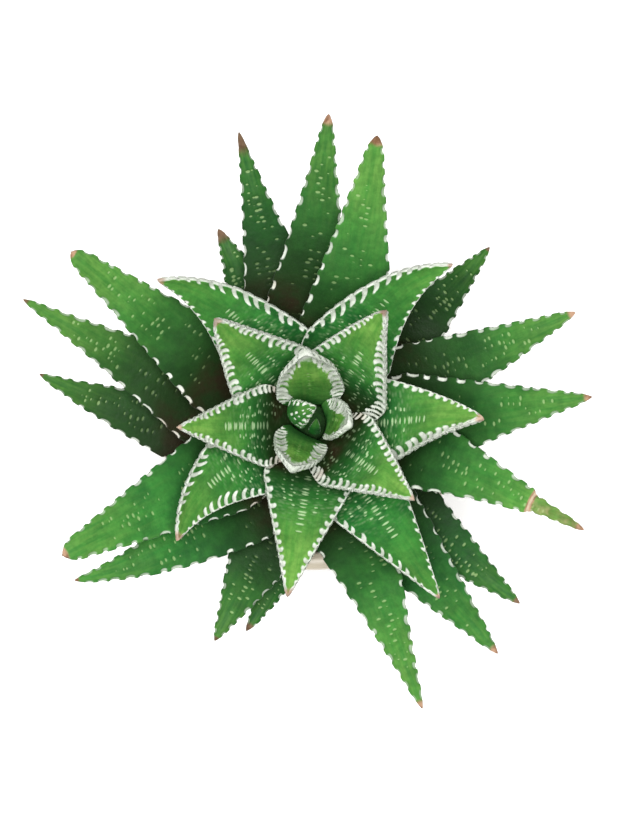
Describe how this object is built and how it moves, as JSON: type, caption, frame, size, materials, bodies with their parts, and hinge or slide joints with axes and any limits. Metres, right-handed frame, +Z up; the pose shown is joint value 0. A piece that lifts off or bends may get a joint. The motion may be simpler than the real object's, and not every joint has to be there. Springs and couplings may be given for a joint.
{
  "type": "potted zebra plant",
  "caption": "Small succulent with a rosette of thick pointed leaves, white raised bands on their backs, on a short stem in a plain round ceramic pot.",
  "frame": {"origin": "middle of the pot's foot, on the surface that the pot stands on", "axes": "+Z up along the pot's and the stem's axis; +Y towards the top of the picture, +X towards its right"},
  "size_m": [0.1249, 0.1293, 0.1197],
  "materials": {
    "pot": "satin cream glaze",
    "soil": "matt, dark brown, granular potting mix",
    "stem": "matt, greenish brown",
    "leaf": "waxy green living leaf with raised white bands and dots"
  },
  "bodies": {
    "root": {"pot": "pot", "soil": "soil", "stem": "stem", "leaf_01": "leaf", "leaf_02": "leaf", "leaf_03": "leaf", "leaf_04": "leaf", "leaf_05": "leaf", "leaf_06": "leaf", "leaf_07": "leaf", "leaf_08": "leaf", "leaf_09": "leaf", "leaf_10": "leaf", "leaf_11": "leaf", "leaf_12": "leaf", "leaf_13": "leaf", "leaf_14": "leaf", "leaf_15": "leaf", "leaf_16": "leaf", "leaf_17": "leaf", "leaf_18": "leaf", "leaf_19": "leaf", "leaf_20": "leaf", "leaf_21": "leaf", "leaf_22": "leaf", "leaf_23": "leaf", "leaf_24": "leaf", "leaf_25": "leaf", "leaf_26": "leaf", "leaf_27": "leaf", "leaf_28": "leaf", "leaf_29": "leaf", "leaf_30": "leaf", "leaf_31": "leaf", "leaf_32": "leaf", "leaf_33": "leaf"}
  },
  "joints": []
}
